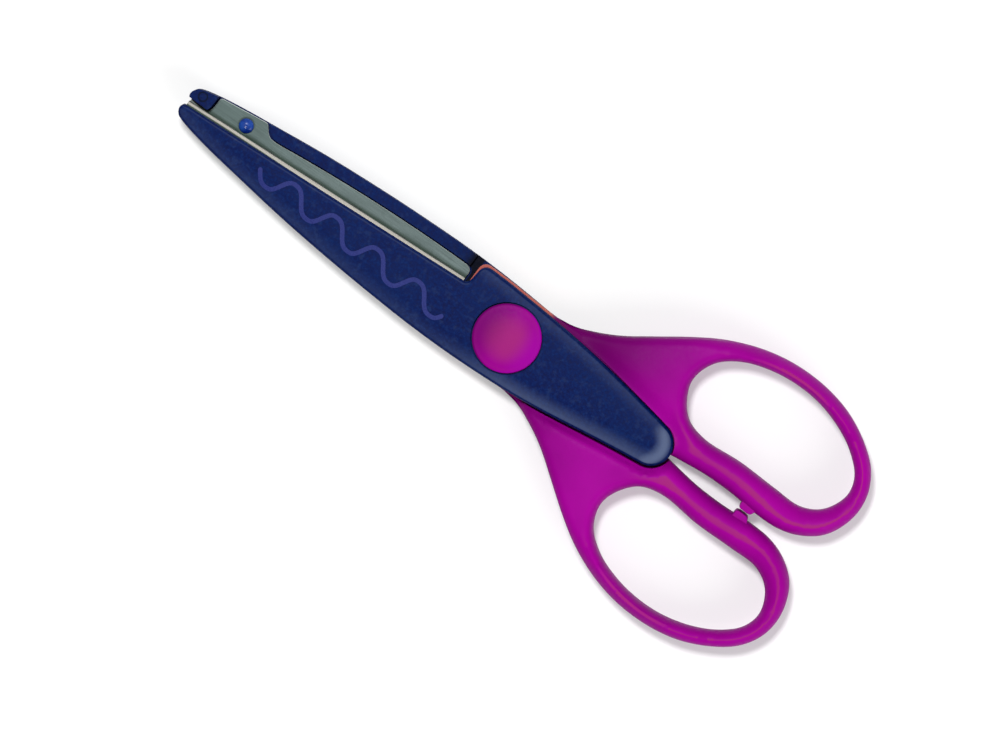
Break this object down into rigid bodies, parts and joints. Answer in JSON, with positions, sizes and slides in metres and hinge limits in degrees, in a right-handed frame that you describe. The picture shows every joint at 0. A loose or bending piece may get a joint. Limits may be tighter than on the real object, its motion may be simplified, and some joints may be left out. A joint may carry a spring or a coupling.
{
  "type": "pinking shears",
  "caption": "Wave-edge pinking shears: two steel wave blades in blue plastic housings, magenta finger-loop handles and a capped centre pivot.",
  "frame": {"origin": "centre of the rear pivot cap's flat outer face, where the pivot axis meets the surface that the shears lie on", "axes": "+X from the pivot to the blade tips with the shears closed, +Y to the side that the front (upper) blade lies on, +Z along the pivot axis away from the surface"},
  "size_m": [0.1649, 0.063, 0.011],
  "materials": {
    "housing_blue": "fine grained moulded plastic with a soft sheen",
    "handle_magenta": "smooth satin moulded plastic",
    "blade_steel": "stamped and ground steel",
    "rivet_blue": "glossy staked plastic heads",
    "pivot_steel": "turned and plated steel",
    "thrust_nylon": "natural nylon",
    "print_violet": "pad-printed ink line that shows the wave the blades cut"
  },
  "bodies": {
    "rear_half": {"rear_blade_housing": "housing_blue", "rear_handle": "handle_magenta", "rear_wave_blade": "blade_steel", "rear_pivot_cap": "handle_magenta", "rear_flat_washer": "pivot_steel", "rear_tip_rivet": "rivet_blue", "rear_middle_rivet": "rivet_blue", "rear_root_rivet": "rivet_blue", "pivot_screw": "pivot_steel", "pivot_barrel_nut": "pivot_steel", "pivot_spring_washer": "pivot_steel", "pivot_thrust_washer": "thrust_nylon"},
    "front_half": {"front_blade_housing": "housing_blue", "front_handle": "handle_magenta", "front_wave_blade": "blade_steel", "front_pivot_cap": "handle_magenta", "front_flat_washer": "pivot_steel", "front_tip_rivet": "rivet_blue", "front_middle_rivet": "rivet_blue", "front_root_rivet": "rivet_blue"}
  },
  "joints": [
    {"name": "pivot", "type": "hinge", "parent": "rear_half", "child": "front_half", "pos_m": [0, 0, 0], "axis": [0, 0, 1], "range_deg": [0, 36]}
  ]
}
